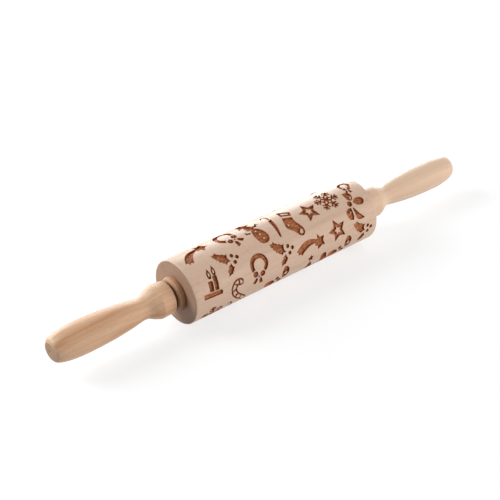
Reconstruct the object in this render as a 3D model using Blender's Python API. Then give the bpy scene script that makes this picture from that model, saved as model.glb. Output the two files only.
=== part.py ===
# Embossed rolling pin: an engraved beech barrel that turns on a through axle, with two turned handles.
# Metres, +Z up. The axle lies along X, and the barrel rests on the plane Z = 0.
# Left is -X and right is +X.

import math

import bmesh
import bpy
from mathutils import Matrix, Vector
from mathutils.geometry import delaunay_2d_cdt, interpolate_bezier

# Whole object
TOTAL_LENGTH = 0.350
SEAT_GAP = 0.0003        # between wooden faces that are glued or pressed together
END_FLOAT = 0.0022       # how far the barrel can shift towards one handle
RUNNING_CLEARANCE = 0.0004

# Barrel
BARREL_LENGTH = 0.160
BARREL_DIAMETER = 0.045
BARREL_RIM_ROUND = 0.0010
BARREL_BORE_DIAMETER = 0.0135
BARREL_SIDES = 40

# Ornaments engraved in the barrel: how deep, and each one's size over its longer way
ENGRAVING_DEPTH = 0.0012
WELD = 0.00001           # points of the surface closer than this are one point
STAR_SIZE = 0.0162
SHOOTING_STAR_SIZE = 0.0200
CANDLES_SIZE = 0.0200
HOLLY_SIZE = 0.0200
WREATH_SIZE = 0.0144
SMALL_WREATH_SIZE = 0.0088
SNOWMAN_SIZE = 0.0200
UMBRELLA_SIZE = 0.0200
STOCKING_SIZE = 0.0200
SNOWFLAKE_SIZE = 0.0184
BOW_SIZE = 0.0200
CANDY_CANE_SIZE = 0.0200
TREE_SIZE = 0.0170
BELL_SIZE = 0.0120

# End bushings: a spigot inside the barrel and a flange outside it
SPIGOT_DIAMETER = 0.018
SPIGOT_LENGTH = 0.014
FLANGE_DIAMETER = 0.0236
FLANGE_WIDTH = 0.0045
FLANGE_ROUND = 0.0012
BUSHING_SIDES = 24

# Axle
AXLE_DIAMETER = 0.010
AXLE_CHAMFER = 0.0008
AXLE_SIDES = 24

# Handles
SOCKET_DEPTH = 0.040
TIP_DIAMETER = 0.0114
BELLY_DIAMETER = 0.0220
NECK_DIAMETER = 0.0151
NECK_DISTANCE = 0.0205   # from the collar's back face to the narrowest place
COLLAR_WIDTH = 0.0095
COLLAR_DIAMETER = 0.0230
COLLAR_BACK_DIAMETER = 0.0226
COLLAR_ROUND = 0.0008
HANDLE_SIDES = 28

ROUND_STEPS = 2          # straight pieces in a small rounded corner
CURVE_STEPS = 2          # straight pieces between two points of a turned curve
OUTLINE_STEPS = 2        # straight pieces between two points of an ornament's curve
WREATH_STEPS = 9
DISC_SIDES = 8
SPOT_SIDES = 6
STAR_POINTS = 5

# The grip from its tip to its neck: share of that length, share of the swell from neck to belly
GRIP_SHARES = (
    (0.013, 0.10), (0.052, 0.405), (0.133, 0.755), (0.252, 0.97), (0.385, 1.00), (0.563, 0.89),
    (0.741, 0.64), (0.889, 0.26), (1.0, 0.0),
)
# The cove from the neck to the collar's shoulder: share of its length, share of its rise
COVE_SHARES = ((0.0, 0.0), (0.27, 0.11), (0.59, 0.61), (0.82, 0.90), (1.0, 1.0))

# The ornaments' outlines in shares of their sizes, right and up from the middle.
# A point marked CORNER is sharp, and the line runs through the others in a curve.
CORNER = True
STAR_NOTCH_SHARE = 0.50
STAR_HOLLOW_SHARE = 0.36
SHOOTING_STAR_SHARES = (
    (-0.055, 0.25, CORNER), (0.03, 0.135, CORNER), (0.205, 0.135, CORNER), (0.135, -0.015, CORNER),
    (0.195, -0.19, CORNER), (0.07, -0.16, CORNER), (-0.095, -0.265, CORNER), (-0.13, -0.12, CORNER),
    (-0.24, -0.065, CORNER), (-0.19, 0.01, CORNER), (-0.45, -0.01),
    (-0.845, -0.23, CORNER), (-0.875, -0.14, CORNER), (-0.98, -0.16, CORNER), (-0.96, -0.075, CORNER),
    (-1.035, -0.025, CORNER), (-0.70, 0.175), (-0.36, 0.195), (-0.105, 0.10, CORNER),
)
CANDLE_BOX_SHARES = (
    (-0.365, -0.083, 0.365, 0.083), (-0.125, 0.118, 0.035, 0.457), (0.09, 0.12, 0.23, 0.58),
)
FLAME_SHARES = ((0.0, 0.165, CORNER), (0.06, -0.01), (0.0, -0.14), (-0.06, -0.01))
FLAME_PLACE_SHARES = ((-0.02, 0.69), (0.184, 0.765))
FLAME_HOLLOW_SHARE = 0.5
BIG_LEAF_SHARES = (
    (-0.49, 0.425), (-0.295, 0.44), (-0.15, 0.28), (0.01, 0.23), (0.01, 0.02), (-0.17, -0.03),
    (-0.315, 0.125), (-0.40, 0.24),
)
SMALL_LEAF_SHARES = (
    (0.0, -0.095), (0.05, -0.26), (-0.055, -0.375), (-0.21, -0.44), (-0.20, -0.28), (-0.095, -0.165),
)
LEAF_HOLLOW_SHARE = 0.16
BERRY_SHARES = ((0.17, 0.145), (0.33, 0.04), (0.18, -0.095))
BERRY_RADIUS_SHARE = 0.058
WREATH_OPENING = 102     # degrees of the ring left open over its bow
WREATH_RADIUS_SHARES = (0.50, 0.32)
WREATH_BOW_SHARES = (0.20, -0.45, 0.125)
WREATH_TAIL_SHARES = ((0.11, -0.68), (0.05, -0.76), (0.13, -0.93), (0.26, -0.92))
SNOWMAN_BODY_SHARES = (
    (0.0, -0.375), (0.18, -0.30), (0.235, -0.10), (0.195, 0.125), (0.0, 0.365),
    (-0.195, 0.125), (-0.235, -0.10), (-0.18, -0.30),
)
SNOWMAN_BUTTON_SHARES = ((0.0, 0.18), (0.0, -0.01), (0.0, -0.20))
SNOWMAN_BUTTON_RADIUS_SHARE = 0.035
SNOWMAN_HEAD_SHARES = (-0.05, 0.51, 0.13)
SNOWMAN_HAT_SHARES = (
    (-0.28, 0.64), (0.11, 0.68), (0.105, 0.73), (0.02, 0.72), (-0.01, 0.90), (-0.20, 0.88),
    (-0.20, 0.70), (-0.285, 0.69),
)
SNOWMAN_ARM_SHARES = (((-0.26, 0.22), (-0.40, 0.26)), ((0.20, 0.35), (0.33, 0.46)))
SNOWMAN_ARM_WIDTH_SHARE = 0.050
UMBRELLA_SHARES = ((-0.075, 0.0), (0.063, 0.025), (-0.075, -0.735), (-0.115, -0.77), (-0.135, -0.705))
UMBRELLA_HOOK_SHARES = ((0.005, 0.06), (0.02, 0.20), (-0.015, 0.325), (-0.10, 0.36), (-0.165, 0.28))
UMBRELLA_HOOK_WIDTH_SHARE = 0.05
STOCKING_LEG_SHARES = (
    (-0.17, 0.305, CORNER), (0.165, 0.16, CORNER), (0.145, -0.02), (0.28, -0.36), (0.215, -0.57),
    (0.03, -0.54), (-0.115, -0.33), (-0.25, -0.215), (-0.295, -0.09),
)
STOCKING_TOE_SHARES = (0.155, -0.455, 0.085)
STOCKING_CUFF_SHARES = ((-0.115, 0.68), (0.27, 0.42), (0.205, 0.235), (-0.15, 0.39))
STOCKING_CUFF_HOLLOW_SHARES = ((-0.065, 0.575), (0.205, 0.40), (0.175, 0.30), (-0.095, 0.425))
SNOWFLAKE_ARMS = 6
SNOWFLAKE_ARM_SHARES = (
    (0.07, -0.04), (0.26, -0.03), (0.35, -0.15), (0.41, -0.11), (0.36, -0.03), (0.50, -0.03),
    (0.50, 0.03), (0.36, 0.03), (0.41, 0.11), (0.35, 0.15), (0.26, 0.03),
)
BOW_KNOT_SHARES = (0.0, 0.0, 0.088)
BOW_SPOT_SHARES = ((0.148, 0.24, 0.045), (-0.145, -0.29, 0.045))
BOW_SPOTTED_LOBE_SHARES = (
    ((0.0, 0.46, CORNER), (0.22, 0.42), (0.285, 0.27), (0.14, 0.085), (0.01, 0.30)),
    ((-0.04, -0.145, CORNER), (-0.04, -0.435), (-0.09, -0.56, CORNER), (-0.29, -0.435), (-0.25, -0.175)),
)
BOW_PLAIN_LOBE_SHARES = ((0.17, 0.013, CORNER), (0.39, 0.12), (0.61, 0.0), (0.55, -0.165), (0.33, -0.14))
BOW_LONG_END_SHARES = (
    (0.055, -0.145, CORNER), (0.17, -0.375), (0.365, -0.625, CORNER), (0.12, -0.59), (0.04, -0.35),
)
BOW_SHORT_END_SHARES = (0.175, -0.20, 0.065)
CANDY_CANE_SHARES = (
    (0.285, 0.225), (0.165, 0.25), (0.045, 0.18), (-0.015, 0.03), (0.025, -0.135), (0.13, -0.28),
    (0.26, -0.40), (0.37, -0.50), (0.47, -0.60),
)
CANDY_CANE_WIDTH_SHARE = 0.175
CANDY_CANE_STRIPE_SHARE = 0.085
TREE_SHARES = (
    (0.0, 0.36), (0.12, 0.14), (0.07, 0.14), (0.20, -0.06), (0.12, -0.06), (0.27, -0.28),
    (0.05, -0.28), (0.05, -0.38),
)
TREE_STAR_SHARES = (0.0, 0.49, 0.105)
BELL_SHARES = ((0.0, 0.46), (0.19, 0.30), (0.24, -0.05), (0.44, -0.32, CORNER))
BELL_CLAPPER_SHARES = (0.0, -0.45, 0.09)

# Where each ornament lies: share of the barrel's length from its middle, share of the way round from
# the bottom towards the front, and how far it leans in degrees
SHOOTING_STAR_PLACE_SHARES = (
    (0.164, 0.295, 0), (-0.349, 0.540, 27), (0.206, 0.594, 165), (0.190, 1.035, -10),
)
CANDLES_PLACE_SHARES = ((-0.411, 0.280, -5), (0.395, 0.755, 8))
HOLLY_PLACE_SHARES = (
    (-0.290, 0.3915, 0), (-0.025, 0.3207, 0), (0.4206, 0.2373, 0), (-0.135, 0.790, 170),
)
WREATH_PLACE_SHARES = ((-0.165, 0.320, -13), (-0.229, 0.535, 30), (0.130, 0.900, 160))
SMALL_WREATH_PLACE_SHARES = ((0.429, 0.512, -12),)
SNOWMAN_PLACE_SHARES = ((-0.0925, 0.4516, 10), (-0.260, 0.870, -12))
UMBRELLA_PLACE_SHARES = ((0.0, 0.5046, 0), (-0.440, 0.810, 12), (-0.311, 0.130, 0))
STOCKING_PLACE_SHARES = ((0.0719, 0.441, 0), (0.210, 0.780, 12))
STAR_PLACE_SHARES = (
    (0.181, 0.453, 9), (0.269, 0.3059, 12), (-0.250, 0.680, 20), (0.045, 0.775, -6), (0.290, 0.905, 14),
    (-0.405, 0.930, 0), (-0.125, 1.030, -14), (0.420, 1.075, 8),
)
SNOWFLAKE_PLACE_SHARES = ((0.297, 0.475, -6), (-0.407, 0.140, 35))
BOW_PLACE_SHARES = ((0.380, 0.3985, 0),)
SHORT_BOW_PLACE_SHARES = ((-0.0475, 0.168, 180), (0.309, 0.171, 180))
CANDY_CANE_PLACE_SHARES = ((-0.306, 0.250, 0), (-0.065, 0.660, 20))
TREE_PLACE_SHARES = ((0.1145, 0.159, 3), (-0.050, 0.900, -5), (0.430, 0.935, 6), (-0.266, 1.055, 4))
BELL_PLACE_SHARES = ((0.194, 0.176, 12), (0.085, 0.629, 5), (-0.395, 0.690, 0))

# Sizes that follow from those above
BARREL_RADIUS = BARREL_DIAMETER / 2
AXIS_HEIGHT = BARREL_RADIUS
BARREL_END = BARREL_LENGTH / 2
FLANGE_FACE = BARREL_END + SEAT_GAP + FLANGE_WIDTH
COLLAR_BACK = FLANGE_FACE + END_FLOAT
HANDLE_TIP = TOTAL_LENGTH / 2
SOCKET_END = COLLAR_BACK + SOCKET_DEPTH
AXLE_END = SOCKET_END - SEAT_GAP
SIDE_ARC = math.pi * BARREL_DIAMETER / BARREL_SIDES

BEECH = (0.62, 0.44, 0.30)
PALE_BEECH = (0.66, 0.50, 0.38)
DARK_BEECH = (0.56, 0.36, 0.22)
BURNT_BEECH = (0.20, 0.09, 0.045)


def clear_scene():
    for obj in list(bpy.data.objects):
        bpy.data.objects.remove(obj, do_unlink=True)


def wood(name, colour, roughness):
    material = bpy.data.materials.new(name)
    material.use_nodes = True
    shader = material.node_tree.nodes["Principled BSDF"]
    shader.inputs["Base Color"].default_value = (*colour, 1.0)
    shader.inputs["Roughness"].default_value = roughness
    shader.inputs["Metallic"].default_value = 0.0
    return material


def rounded(corners):
    """The outline with each (x, radius, fillet) corner replaced by an arc of that fillet."""
    points = []
    for i, (x, y, fillet) in enumerate(corners):
        here = Vector((x, y))
        if not fillet:
            points.append(here)
            continue
        before = (Vector(corners[i - 1][:2]) - here).normalized()
        after = (Vector(corners[(i + 1) % len(corners)][:2]) - here).normalized()
        half = before.angle(after) / 2
        centre = here + (before + after).normalized() * fillet / math.sin(half)
        reach = fillet / math.tan(half)
        start = here + before * reach - centre
        turn = start.angle_signed(here + after * reach - centre)
        for step in range(ROUND_STEPS + 1):
            arm = start.copy()
            arm.rotate(Matrix.Rotation(-turn * step / ROUND_STEPS, 2))
            points.append(centre + arm)
    return points


def smooth(points, steps):
    """A curve through the points, with steps straight pieces between each two."""
    points = [Vector(p) for p in points]
    slopes = []
    for i, here in enumerate(points):
        before = points[max(i - 1, 0)]
        after = points[min(i + 1, len(points) - 1)]
        slopes.append((after - before).normalized())
    curve = []
    for i in range(len(points) - 1):
        start, end = points[i], points[i + 1]
        third = (end - start).length / 3
        piece = interpolate_bezier(
            start, start + slopes[i] * third, end - slopes[i + 1] * third, end, steps + 1
        )
        curve.extend(Vector(p[:2]) for p in piece[:-1])
    return curve + [points[-1]]


def add_object(name, bm, material):
    mesh = bpy.data.meshes.new(name)
    bm.to_mesh(mesh)
    bm.free()
    mesh.materials.append(material)
    obj = bpy.data.objects.new(name, mesh)
    bpy.context.scene.collection.objects.link(obj)
    return obj


def spun(outline, sides, closed):
    """The faces that an outline of (x, radius) points makes when it turns about the X axis."""
    bm = bmesh.new()
    verts = [bm.verts.new((x, 0, -radius)) for x, radius in outline]
    pairs = list(zip(verts, verts[1:]))
    if closed:
        pairs.append((verts[-1], verts[0]))
    edges = [bm.edges.new(pair) for pair in pairs]
    bmesh.ops.spin(
        bm, geom=verts + edges, cent=(0, 0, 0), axis=(1, 0, 0),
        angle=2 * math.pi, steps=sides, use_merge=True,
    )
    half_side = Matrix.Rotation(math.pi / sides, 4, "X")
    bmesh.ops.transform(bm, matrix=half_side, verts=bm.verts)
    return bm


def add_round_object(name, bm, material):
    """Adds the mesh at the axle's height, smooth but for its sharp edges."""
    bmesh.ops.recalc_face_normals(bm, faces=bm.faces)
    obj = add_object(name, bm, material)
    obj.data.shade_smooth()
    obj.data.set_sharp_from_angle(angle=math.radians(30))
    obj.location = (0, 0, AXIS_HEIGHT)
    return obj


def turned(name, outline, sides, material, closed):
    """A turned piece: a ring where its outline is closed, and otherwise capped flat at both ends."""
    bm = spun(outline, sides, closed)
    if not closed:
        bmesh.ops.holes_fill(bm, edges=[e for e in bm.edges if e.is_boundary], sides=0)
    return add_round_object(name, bm, material)


def disc(x, y, radius, sides=DISC_SIDES):
    """A closed loop round the point (x, y)."""
    angles = [2 * math.pi * i / sides for i in range(sides)]
    return [(x + radius * math.cos(angle), y + radius * math.sin(angle)) for angle in angles]


def star_loop(x, y, radius):
    loop = []
    for i in range(2 * STAR_POINTS):
        reach = radius if i % 2 == 0 else radius * STAR_NOTCH_SHARE
        angle = math.pi / 2 + math.pi * i / STAR_POINTS
        loop.append((x + reach * math.cos(angle), y + reach * math.sin(angle)))
    return loop


def flowing(points):
    """A closed loop through the points: straight between two corners, and a curve elsewhere."""
    spots = [Vector(p[:2]) for p in points]
    loop = []
    for i, here in enumerate(spots):
        following = (i + 1) % len(spots)
        after = spots[following]
        sharp = len(points[i]) > 2
        next_sharp = len(points[following]) > 2
        if sharp and next_sharp:
            loop.append(here)
            continue
        third = (after - here).length / 3
        leaving = (after - (here if sharp else spots[i - 1])).normalized() * third
        beyond = after if next_sharp else spots[(i + 2) % len(spots)]
        arriving = (beyond - here).normalized() * third
        piece = interpolate_bezier(here, here + leaving, after - arriving, after, OUTLINE_STEPS + 1)
        loop.extend(piece[:-1])
    return [tuple(p[:2]) for p in loop]


def stroke(path, width):
    """The closed loop round a line of this width along the path."""
    spots = [Vector(p) for p in path]
    left, right = [], []
    for i, here in enumerate(spots):
        way = spots[min(i + 1, len(spots) - 1)] - spots[max(i - 1, 0)]
        aside = Vector((-way.y, way.x)).normalized() * width / 2
        left.append(tuple(here + aside))
        right.append(tuple(here - aside))
    return left + right[::-1]


def scalloped(corners):
    """The loop with a point between each two corners, drawn in as on a holly leaf."""
    spots = [Vector(p) for p in corners]
    loop = []
    for i, here in enumerate(spots):
        side = spots[(i + 1) % len(spots)] - here
        inwards = Vector((side.y, -side.x)) * LEAF_HOLLOW_SHARE
        loop += [tuple(here), tuple(here + side / 2 + inwards)]
    return loop


# Each ornament is a list of cuts. A cut is its outer loop, followed by the islands left standing in it.


def star():
    return [[star_loop(0, 0, 1 / 2), star_loop(0, 0, STAR_HOLLOW_SHARE / 2)]]


def shooting_star():
    return [[flowing(SHOOTING_STAR_SHARES)]]


def candles():
    cuts = [[[(x0, y0), (x1, y0), (x1, y1), (x0, y1)]] for x0, y0, x1, y1 in CANDLE_BOX_SHARES]
    flame = flowing(FLAME_SHARES)
    for x, y in FLAME_PLACE_SHARES:
        outer = [(x + u, y + v) for u, v in flame]
        hollow = [(x + u * FLAME_HOLLOW_SHARE, y + v * FLAME_HOLLOW_SHARE) for u, v, *_ in FLAME_SHARES]
        cuts.append([outer, hollow])
    return cuts


def holly():
    berries = [[disc(x, y, BERRY_RADIUS_SHARE, SPOT_SIDES)] for x, y in BERRY_SHARES]
    return [[scalloped(BIG_LEAF_SHARES)], [scalloped(SMALL_LEAF_SHARES)]] + berries


def wreath():
    outer, inner = WREATH_RADIUS_SHARES
    start = math.radians(WREATH_OPENING / 2 - 90)
    turn = math.radians(360 - WREATH_OPENING)
    angles = [start + turn * i / WREATH_STEPS for i in range(WREATH_STEPS + 1)]
    ring = [(outer * math.cos(a), outer * math.sin(a)) for a in angles]
    ring += [(inner * math.cos(a), inner * math.sin(a)) for a in reversed(angles)]
    cuts = [[ring]]
    aside, below, radius = WREATH_BOW_SHARES
    for side in (-1, 1):
        cuts.append([disc(side * aside, below, radius)])
        cuts.append([[(side * x, y) for x, y in WREATH_TAIL_SHARES]])
    return cuts


def snowman():
    buttons = [disc(x, y, SNOWMAN_BUTTON_RADIUS_SHARE, SPOT_SIDES) for x, y in SNOWMAN_BUTTON_SHARES]
    arms = [[stroke(path, SNOWMAN_ARM_WIDTH_SHARE)] for path in SNOWMAN_ARM_SHARES]
    head = disc(*SNOWMAN_HEAD_SHARES)
    return [[flowing(SNOWMAN_BODY_SHARES)] + buttons, [head], [SNOWMAN_HAT_SHARES]] + arms


def umbrella():
    return [[UMBRELLA_SHARES], [stroke(UMBRELLA_HOOK_SHARES, UMBRELLA_HOOK_WIDTH_SHARE)]]


def stocking():
    toe = disc(*STOCKING_TOE_SHARES)
    return [[flowing(STOCKING_LEG_SHARES), toe], [STOCKING_CUFF_SHARES, STOCKING_CUFF_HOLLOW_SHARES]]


def snowflake():
    loop = []
    for arm in range(SNOWFLAKE_ARMS):
        turn = Matrix.Rotation(2 * math.pi * arm / SNOWFLAKE_ARMS, 2)
        loop += [tuple(turn @ Vector(point)) for point in SNOWFLAKE_ARM_SHARES]
    return [[loop]]


def bow(end):
    cuts = [[disc(*BOW_KNOT_SHARES)], [flowing(BOW_PLAIN_LOBE_SHARES)], [end]]
    for lobe, spot in zip(BOW_SPOTTED_LOBE_SHARES, BOW_SPOT_SHARES):
        cuts.append([flowing(lobe), disc(*spot, SPOT_SIDES)])
    return cuts


def candy_cane():
    path = CANDY_CANE_SHARES
    stripes = [stroke(path[i:i + 2], CANDY_CANE_STRIPE_SHARE) for i in range(1, len(path) - 1, 2)]
    return [[stroke(path, CANDY_CANE_WIDTH_SHARE)] + stripes]


def tree():
    mirrored = [(-x, y) for x, y in reversed(TREE_SHARES[1:])]
    return [[list(TREE_SHARES) + mirrored], [star_loop(*TREE_STAR_SHARES)]]


def bell():
    mirrored = [(-x, *rest) for x, *rest in reversed(BELL_SHARES[1:])]
    return [[flowing(list(BELL_SHARES) + mirrored)], [disc(*BELL_CLAPPER_SHARES)]]


def engraved_ornaments():
    """Every ornament's cuts with its size and places."""
    return [
        (shooting_star(), SHOOTING_STAR_SIZE, SHOOTING_STAR_PLACE_SHARES),
        (candles(), CANDLES_SIZE, CANDLES_PLACE_SHARES),
        (holly(), HOLLY_SIZE, HOLLY_PLACE_SHARES),
        (wreath(), WREATH_SIZE, WREATH_PLACE_SHARES),
        (wreath(), SMALL_WREATH_SIZE, SMALL_WREATH_PLACE_SHARES),
        (snowman(), SNOWMAN_SIZE, SNOWMAN_PLACE_SHARES),
        (umbrella(), UMBRELLA_SIZE, UMBRELLA_PLACE_SHARES),
        (stocking(), STOCKING_SIZE, STOCKING_PLACE_SHARES),
        (star(), STAR_SIZE, STAR_PLACE_SHARES),
        (snowflake(), SNOWFLAKE_SIZE, SNOWFLAKE_PLACE_SHARES),
        (bow(flowing(BOW_LONG_END_SHARES)), BOW_SIZE, BOW_PLACE_SHARES),
        (bow(disc(*BOW_SHORT_END_SHARES)), BOW_SIZE, SHORT_BOW_PLACE_SHARES),
        (candy_cane(), CANDY_CANE_SIZE, CANDY_CANE_PLACE_SHARES),
        (tree(), TREE_SIZE, TREE_PLACE_SHARES),
        (bell(), BELL_SIZE, BELL_PLACE_SHARES),
    ]


def unrolled_surface(half_length):
    """The engraved surface laid flat: its vertices, its faces, and which of them are engraved.

    It's split at the lines where the barrel bends and along each ornament's outline. An ornament that
    runs over the lower edge of the sheet comes back at its upper edge."""
    points, polygons, kinds = [], [], []

    def add_polygon(loop, kind):
        clockwise = sum(loop[i - 1].cross(loop[i]) for i in range(len(loop))) < 0
        polygons.append(list(range(len(points), len(points) + len(loop))))
        points.extend(reversed(loop) if clockwise else loop)
        kinds.append(kind)

    around = SIDE_ARC * BARREL_SIDES
    for side in range(BARREL_SIDES):
        low, high = (side - 1 / 2) * SIDE_ARC, (side + 1 / 2) * SIDE_ARC
        corners = [(-half_length, low), (half_length, low), (half_length, high), (-half_length, high)]
        add_polygon([Vector(corner) for corner in corners], "side")
    for number, (cuts, size, places) in enumerate(engraved_ornaments()):
        for along_share, around_share, lean in places:
            turn = Matrix.Rotation(math.radians(lean), 2) * size
            for lap in (-1, 0):
                middle = Vector((BARREL_LENGTH * along_share, around * (around_share + lap)))
                for cut in cuts:
                    name = len(polygons)
                    for i, loop in enumerate(cut):
                        kind = ("island" if i else "outline", name)
                        add_polygon([middle + turn @ Vector(p) for p in loop], kind)

    faces_inside_polygons = 1
    verts, _, faces, _, _, owners = delaunay_2d_cdt(
        points, [], polygons, faces_inside_polygons, WELD, True
    )
    kept, engraved = [], []
    for face, owner in zip(faces, owners):
        inside = [kinds[i] for i in owner]
        if "side" not in inside:
            continue
        islands = {kind[1] for kind in inside if kind[0] == "island"}
        outlines = {kind[1] for kind in inside if kind[0] == "outline"}
        kept.append(face)
        engraved.append(bool(outlines - islands))
    return verts, kept, engraved


def rolled(along, distance):
    """The place on the barrel's flat-sided surface of a point that lies this far round from the bottom."""
    side = math.floor(distance / SIDE_ARC + 1 / 2)
    share = distance / SIDE_ARC + 1 / 2 - side
    start, end = [2 * math.pi * (side + step) / BARREL_SIDES for step in (-1 / 2, 1 / 2)]
    outwards = Vector((-math.sin(start), -math.cos(start))).lerp(
        Vector((-math.sin(end), -math.cos(end))), share
    )
    return Vector((along, *(outwards * BARREL_RADIUS)))


def add_engraved_surface(bm, half_length):
    """Rolls the flat surface up and presses its engraved faces in towards the axle."""
    points, faces, engraved = unrolled_surface(half_length)
    verts = [bm.verts.new(rolled(*point)) for point in points]
    pressed = []
    for face, deep in zip(faces, engraved):
        made = bm.faces.new([verts[i] for i in face])
        if deep:
            pressed.append(made)
    bmesh.ops.delete(bm, geom=[v for v in verts if not v.link_faces], context="VERTS")
    bmesh.ops.remove_doubles(bm, verts=bm.verts[:], dist=WELD)
    pressed = [face for face in pressed if face.is_valid]
    moved = bmesh.ops.extrude_face_region(bm, geom=pressed)["geom"]
    bmesh.ops.delete(bm, geom=pressed, context="FACES")
    lower = {item for item in moved if isinstance(item, bmesh.types.BMVert)}
    shrink = 1 - ENGRAVING_DEPTH / BARREL_RADIUS
    bmesh.ops.scale(bm, vec=(1, shrink, shrink), verts=list(lower))
    for face in bm.faces:
        face.material_index = int(any(vert in lower for vert in face.verts))


def make_barrel():
    counterbore = SPIGOT_DIAMETER / 2 + SEAT_GAP
    counterbore_end = BARREL_END - SPIGOT_LENGTH - SEAT_GAP
    bore = BARREL_BORE_DIAMETER / 2
    outline = rounded(
        [
            (-BARREL_END, BARREL_RADIUS, BARREL_RIM_ROUND),
            (BARREL_END, BARREL_RADIUS, BARREL_RIM_ROUND),
            (BARREL_END, counterbore, 0),
            (counterbore_end, counterbore, 0),
            (counterbore_end, bore, 0),
            (-counterbore_end, bore, 0),
            (-counterbore_end, counterbore, 0),
            (-BARREL_END, counterbore, 0),
        ]
    )
    ends_and_bore = outline[ROUND_STEPS + 1:] + outline[:ROUND_STEPS + 1]
    bm = spun(ends_and_bore, BARREL_SIDES, False)
    add_engraved_surface(bm, BARREL_END - BARREL_RIM_ROUND)
    barrel = add_round_object("barrel", bm, wood("barrel_beech", PALE_BEECH, 0.55))
    barrel.data.materials.append(wood("burnt_beech", BURNT_BEECH, 0.8))


def make_bushing(name, side):
    bore = AXLE_DIAMETER / 2 + RUNNING_CLEARANCE
    flange_back = BARREL_END + SEAT_GAP
    outline = rounded(
        [
            (BARREL_END - SPIGOT_LENGTH, bore, 0),
            (BARREL_END - SPIGOT_LENGTH, SPIGOT_DIAMETER / 2, 0),
            (flange_back, SPIGOT_DIAMETER / 2, 0),
            (flange_back, FLANGE_DIAMETER / 2, 0),
            (FLANGE_FACE, FLANGE_DIAMETER / 2, FLANGE_ROUND),
            (FLANGE_FACE, bore, 0),
        ]
    )
    mirrored = [(side * x, radius) for x, radius in outline]
    return turned(name, mirrored, BUSHING_SIDES, wood(name + "_beech", DARK_BEECH, 0.5), True)


def make_axle():
    radius = AXLE_DIAMETER / 2
    outline = [
        (-AXLE_END, radius - AXLE_CHAMFER),
        (-AXLE_END + AXLE_CHAMFER, radius),
        (AXLE_END - AXLE_CHAMFER, radius),
        (AXLE_END, radius - AXLE_CHAMFER),
    ]
    return turned("axle", outline, AXLE_SIDES, wood("axle_beech", BEECH, 0.5), False)


def handle_outline():
    """From the tip's flat face round the grip and the collar to the bottom of the socket."""
    tip, belly, neck = TIP_DIAMETER / 2, BELLY_DIAMETER / 2, NECK_DIAMETER / 2
    collar, collar_back = COLLAR_DIAMETER / 2, COLLAR_BACK_DIAMETER / 2
    socket = AXLE_DIAMETER / 2 + SEAT_GAP
    neck_at = COLLAR_BACK + NECK_DISTANCE
    shoulder_at = COLLAR_BACK + COLLAR_WIDTH
    grip = [
        (HANDLE_TIP + (neck_at - HANDLE_TIP) * along, neck + (belly - neck) * swell)
        for along, swell in GRIP_SHARES
    ]
    cove = [
        (neck_at + (shoulder_at - neck_at) * along, neck + (collar - neck) * rise)
        for along, rise in COVE_SHARES
    ]
    band = rounded(
        [
            (*cove[-1], 0),
            (COLLAR_BACK, collar_back, COLLAR_ROUND),
            (COLLAR_BACK, socket, 0),
            (SOCKET_END, socket, 0),
        ]
    )
    whole_grip = smooth([(HANDLE_TIP, tip)] + grip + cove[1:], CURVE_STEPS)
    return [(x, radius) for x, radius in whole_grip + band[1:]]


def make_handle(name, side):
    outline = [(side * x, radius) for x, radius in handle_outline()]
    return turned(name, outline, HANDLE_SIDES, wood(name + "_beech", BEECH, 0.45), False)


def build():
    clear_scene()
    make_barrel()
    make_bushing("left_bushing", -1)
    make_bushing("right_bushing", 1)
    make_axle()
    make_handle("left_handle", -1)
    make_handle("right_handle", 1)


build()
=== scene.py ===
import math

import bmesh
import bpy
from mathutils import Matrix, Vector
from mathutils.geometry import delaunay_2d_cdt, interpolate_bezier


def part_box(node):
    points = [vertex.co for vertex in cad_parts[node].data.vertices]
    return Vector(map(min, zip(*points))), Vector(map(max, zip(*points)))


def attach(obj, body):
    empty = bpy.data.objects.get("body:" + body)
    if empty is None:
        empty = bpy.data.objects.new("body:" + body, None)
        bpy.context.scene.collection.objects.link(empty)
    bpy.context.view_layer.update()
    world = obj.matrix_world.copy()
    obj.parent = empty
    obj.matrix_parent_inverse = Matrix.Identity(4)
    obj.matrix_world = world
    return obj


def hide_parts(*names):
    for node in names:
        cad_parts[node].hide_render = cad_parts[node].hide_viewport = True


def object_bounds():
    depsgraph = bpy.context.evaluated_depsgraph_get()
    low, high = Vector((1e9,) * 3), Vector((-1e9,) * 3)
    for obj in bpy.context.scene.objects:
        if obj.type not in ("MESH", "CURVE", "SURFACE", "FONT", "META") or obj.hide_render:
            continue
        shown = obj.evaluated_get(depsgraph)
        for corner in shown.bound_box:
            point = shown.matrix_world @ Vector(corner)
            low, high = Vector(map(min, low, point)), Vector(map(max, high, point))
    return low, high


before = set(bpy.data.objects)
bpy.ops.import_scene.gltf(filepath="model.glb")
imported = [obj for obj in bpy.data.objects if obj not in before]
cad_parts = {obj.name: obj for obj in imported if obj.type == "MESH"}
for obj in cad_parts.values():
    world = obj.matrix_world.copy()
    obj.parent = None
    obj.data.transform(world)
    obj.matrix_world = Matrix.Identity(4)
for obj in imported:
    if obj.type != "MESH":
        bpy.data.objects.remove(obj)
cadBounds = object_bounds()
print("frame loaded:", sorted(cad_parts))

mm = 0.001
barrelLow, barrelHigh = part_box("barrel")
barrelRadius = (barrelHigh.z - barrelLow.z) / 2
axisHeight = (barrelHigh.z + barrelLow.z) / 2


# Shader nodes

def newNode(tree, kind, values=None, **settings):
    node = tree.nodes.new(kind)
    for name, value in settings.items():
        setattr(node, name, value)
    for name, value in (values or {}).items():
        if isinstance(value, bpy.types.NodeSocket):
            tree.links.new(value, node.inputs[name])
        else:
            node.inputs[name].default_value = value
    return node


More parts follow.
